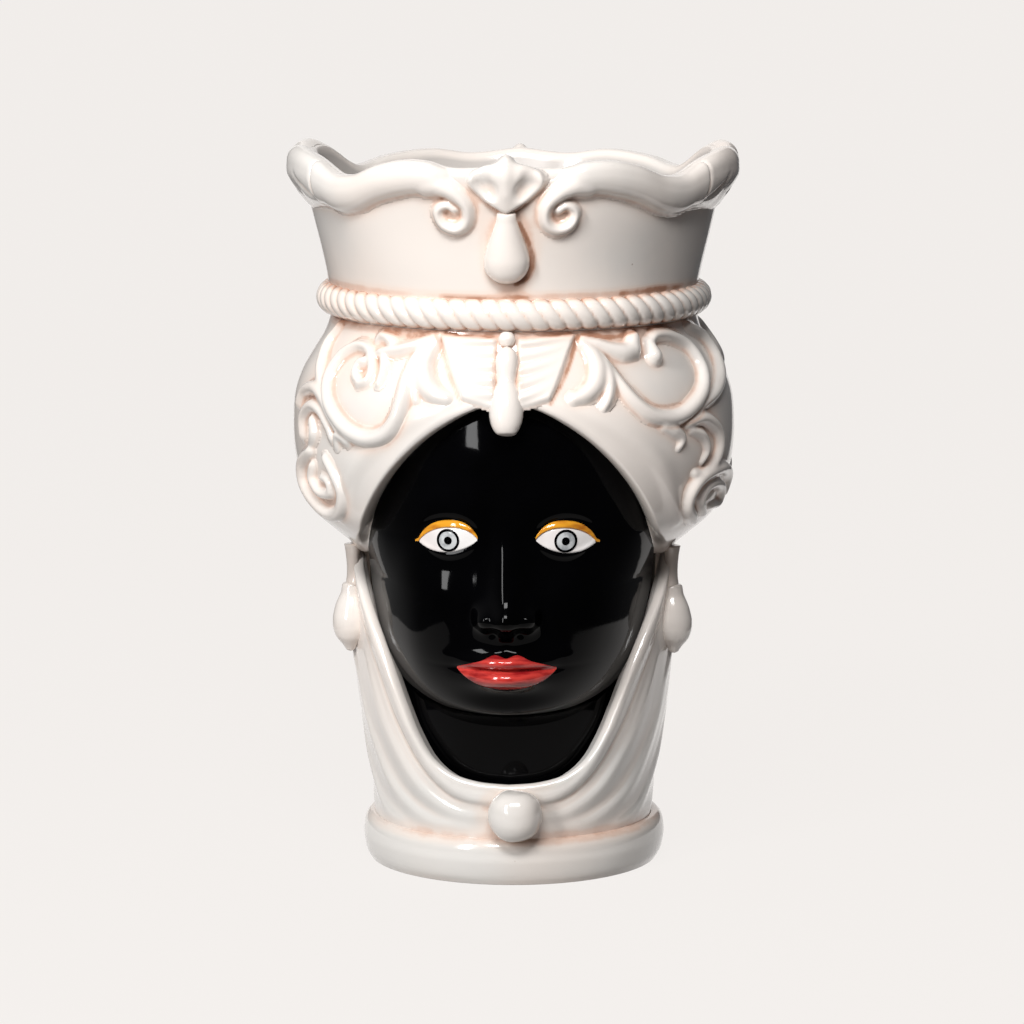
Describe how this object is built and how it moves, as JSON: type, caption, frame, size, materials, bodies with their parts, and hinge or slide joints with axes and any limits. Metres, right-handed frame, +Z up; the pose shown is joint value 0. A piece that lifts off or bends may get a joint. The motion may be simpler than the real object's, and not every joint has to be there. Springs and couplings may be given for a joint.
{
  "type": "face vase",
  "caption": "Footed vase shaped as a crowned head in a scroll-decorated turban, with a dark glazed face and an open top.",
  "frame": {"origin": "centre of the flat foot, on the surface that the vase stands on", "axes": "+Z up to the mouth, the face looks along -Y, +X is to the right of someone who looks at the face"},
  "size_m": [0.1806, 0.1814, 0.286],
  "materials": {
    "white_glaze": "glossy warm white glaze with pink clay showing in the recesses",
    "black_glaze": "deep glossy black glaze with painted eyes and red lips",
    "inner_glaze": "thin pale grey glaze inside the vessel"
  },
  "bodies": {
    "root": {"base_floor": "inner_glaze", "base_ring": "white_glaze", "bow_left": "white_glaze", "bow_right": "white_glaze", "brow_bead": "white_glaze", "brow_drop": "white_glaze", "crown_drop_back": "white_glaze", "crown_drop_front": "white_glaze", "crown_wall": "white_glaze", "earring_drop_left": "white_glaze", "earring_drop_right": "white_glaze", "earring_stem_left": "white_glaze", "earring_stem_right": "white_glaze", "face": "black_glaze", "mantle": "white_glaze", "mantle_folds_left": "white_glaze", "mantle_folds_right": "white_glaze", "mantle_hem": "white_glaze", "neck_wall": "black_glaze", "palmette_back": "white_glaze", "palmette_front": "white_glaze", "rim_horn_left": "white_glaze", "rim_horn_right": "white_glaze", "rim_scroll_back_left": "white_glaze", "rim_scroll_back_right": "white_glaze", "rim_scroll_front_left": "white_glaze", "rim_scroll_front_right": "white_glaze", "rope_band": "white_glaze", "scarf_ball": "white_glaze", "scroll_back_left": "white_glaze", "scroll_back_right": "white_glaze", "scroll_front_left": "white_glaze", "scroll_front_right": "white_glaze", "scroll_side_back_left": "white_glaze", "scroll_side_back_right": "white_glaze", "scroll_side_front_left": "white_glaze", "scroll_side_front_right": "white_glaze", "turban": "white_glaze"}
  },
  "joints": []
}
